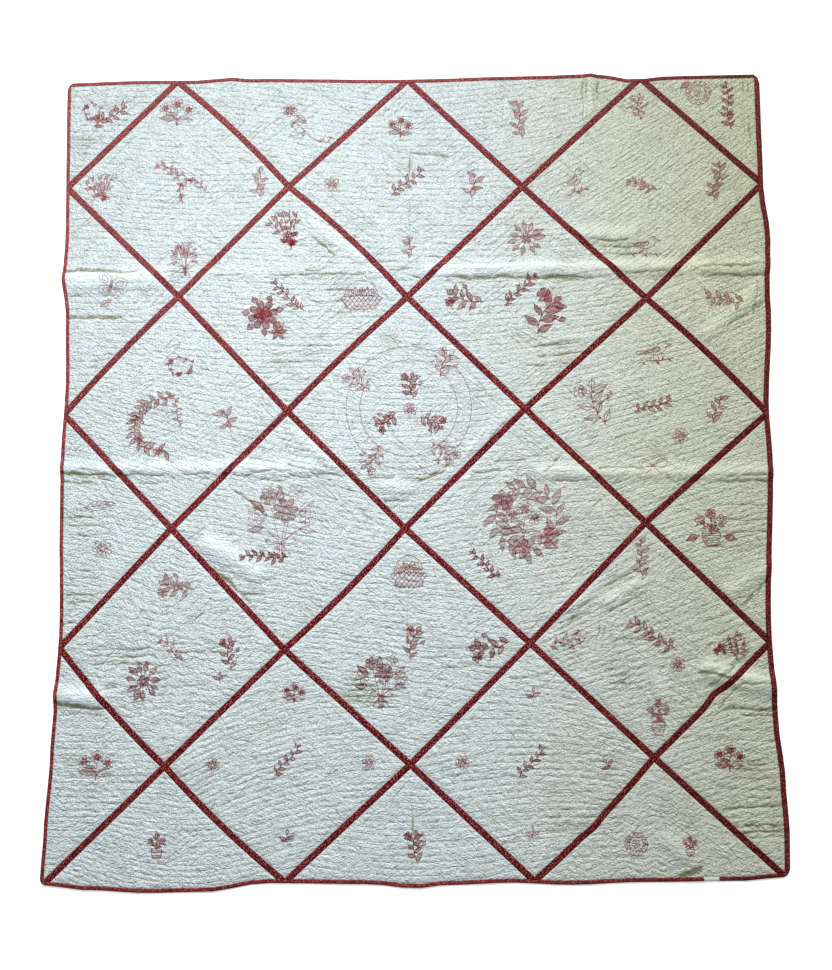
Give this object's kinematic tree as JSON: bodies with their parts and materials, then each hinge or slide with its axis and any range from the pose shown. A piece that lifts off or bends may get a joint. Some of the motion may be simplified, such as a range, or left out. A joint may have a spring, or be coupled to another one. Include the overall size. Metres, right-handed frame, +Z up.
{
  "type": "redwork quilt",
  "caption": "Hand-quilted cotton bed quilt laid flat: white blocks on point with red outline embroidery, narrow red calico sashes and a red binding.",
  "frame": {"origin": "the middle of the quilt's underside, on the surface it lies on", "axes": "+X to the quilt's right and +Y towards its top edge as it is seen from above, +Z up out of its embroidered face"},
  "size_m": [1.8296, 2.0704, 0.018],
  "materials": {
    "white_cotton": "plain woven cotton, hand quilted in close wavy rows, embroidered in red thread",
    "sash_calico": "red cotton calico with a fine pale speckled print",
    "binding_calico": "red cotton calico binding, folded over the edge, faded and worn in places",
    "red_thread": "stranded cotton embroidery thread, dyed red and washed paler in places"
  },
  "bodies": {
    "root": {"binding_bottom": "binding_calico", "binding_left": "binding_calico", "binding_right": "binding_calico", "binding_top": "binding_calico", "block_r0_c0": "white_cotton", "block_r0_c2": "white_cotton", "block_r0_c4": "white_cotton", "block_r0_c6": "white_cotton", "block_r1_c1": "white_cotton", "block_r1_c3": "white_cotton", "block_r1_c5": "white_cotton", "block_r2_c0": "white_cotton", "block_r2_c2": "white_cotton", "block_r2_c4": "white_cotton", "block_r2_c6": "white_cotton", "block_r3_c1": "white_cotton", "block_r3_c3": "white_cotton", "block_r3_c5": "white_cotton", "block_r4_c0": "white_cotton", "block_r4_c2": "white_cotton", "block_r4_c4": "white_cotton", "block_r4_c6": "white_cotton", "block_r5_c1": "white_cotton", "block_r5_c3": "white_cotton", "block_r5_c5": "white_cotton", "block_r6_c0": "white_cotton", "block_r6_c2": "white_cotton", "block_r6_c4": "white_cotton", "block_r6_c6": "white_cotton", "block_r7_c1": "white_cotton", "block_r7_c3": "white_cotton", "block_r7_c5": "white_cotton", "long_sash_1": "sash_calico", "long_sash_2": "sash_calico", "long_sash_3": "sash_calico", "long_sash_4": "sash_calico", "long_sash_5": "sash_calico", "long_sash_6": "sash_calico", "short_sash_r0_c1": "sash_calico", "short_sash_r0_c3": "sash_calico", "short_sash_r0_c5": "sash_calico", "short_sash_r1_c0": "sash_calico", "short_sash_r1_c2": "sash_calico", "short_sash_r1_c4": "sash_calico", "short_sash_r2_c1": "sash_calico", "short_sash_r2_c3": "sash_calico", "short_sash_r2_c5": "sash_calico", "short_sash_r3_c0": "sash_calico", "short_sash_r3_c2": "sash_calico", "short_sash_r3_c4": "sash_calico", "short_sash_r4_c1": "sash_calico", "short_sash_r4_c3": "sash_calico", "short_sash_r4_c5": "sash_calico", "short_sash_r5_c0": "sash_calico", "short_sash_r5_c2": "sash_calico", "short_sash_r5_c4": "sash_calico", "short_sash_r6_c1": "sash_calico", "short_sash_r6_c3": "sash_calico", "short_sash_r6_c5": "sash_calico"}
  },
  "joints": []
}
